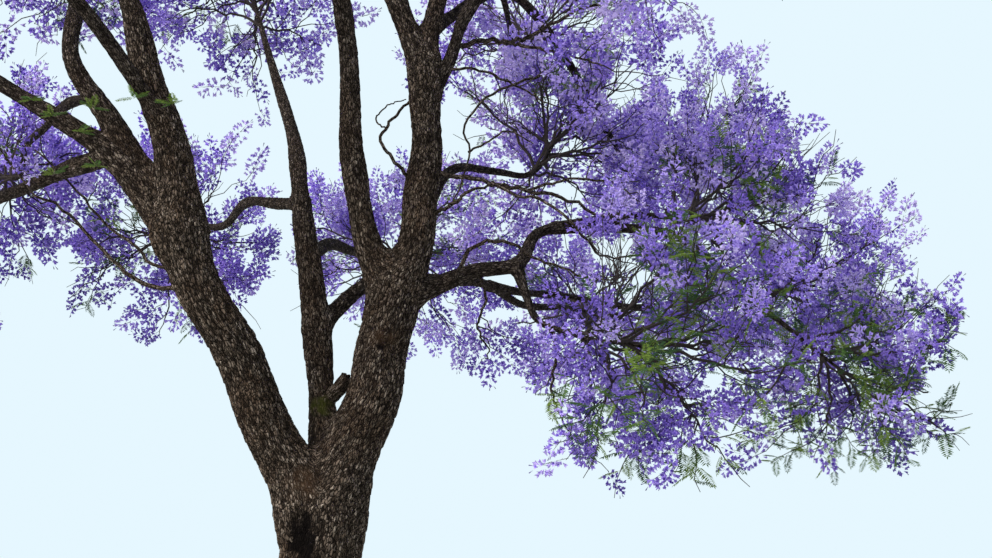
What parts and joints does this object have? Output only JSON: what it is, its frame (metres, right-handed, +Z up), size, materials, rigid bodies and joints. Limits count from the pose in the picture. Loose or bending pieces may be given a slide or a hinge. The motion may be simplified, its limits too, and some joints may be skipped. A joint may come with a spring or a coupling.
{
  "type": "jacaranda tree",
  "caption": "Whole jacaranda tree in full violet blossom: flared forked trunk, tapering boughs, and a full crown of twigs with blossom sprays and sparse feathery leaves, rooted at its base.",
  "frame": {"origin": "centre of the flat cut under the trunk, at ground level", "axes": "+Z up; the pictured side faces -Y, with +X to the right as seen from there"},
  "size_m": [10.8655, 11.5408, 9.686],
  "materials": {
    "bark": "rough fissured bark, grey-brown to near black, small vertical scales",
    "blossom": "matt violet trumpet flowers in loose sprays",
    "leaf": "matt mid-green feathery leaves"
  },
  "bodies": {
    "root": {"trunk": "bark", "right_stem": "bark", "left_limb": "bark", "leader": "bark", "bough_right": "bark", "bough_right_low": "bark", "bough_right_far": "bark", "bough_right_middle": "bark", "bough_right_upper": "bark", "bough_top_right": "bark", "bough_top_left": "bark", "bough_right_back": "bark", "bough_back_top": "bark", "bough_front_upper": "bark", "bough_front_right": "bark", "bough_front": "bark", "bough_back_upper": "bark", "bough_back_left": "bark", "bough_back": "bark", "bough_back_right": "bark", "bough_far_right": "bark", "bough_left_upper": "bark", "bough_left_top": "bark", "bough_left": "bark", "bough_left_low": "bark", "bough_left_front": "bark", "bough_left_back": "bark", "blossom_right": "blossom", "blossom_right_low": "blossom", "blossom_right_far": "blossom", "blossom_right_middle": "blossom", "blossom_right_upper": "blossom", "blossom_top_right": "blossom", "blossom_top_left": "blossom", "blossom_right_back": "blossom", "blossom_back_top": "blossom", "blossom_front_upper": "blossom", "blossom_front_right": "blossom", "blossom_front": "blossom", "blossom_back_upper": "blossom", "blossom_back_left": "blossom", "blossom_back": "blossom", "blossom_back_right": "blossom", "blossom_far_right": "blossom", "blossom_left_upper": "blossom", "blossom_left_top": "blossom", "blossom_left": "blossom", "blossom_left_low": "blossom", "blossom_left_front": "blossom", "blossom_left_back": "blossom"}
  },
  "joints": []
}
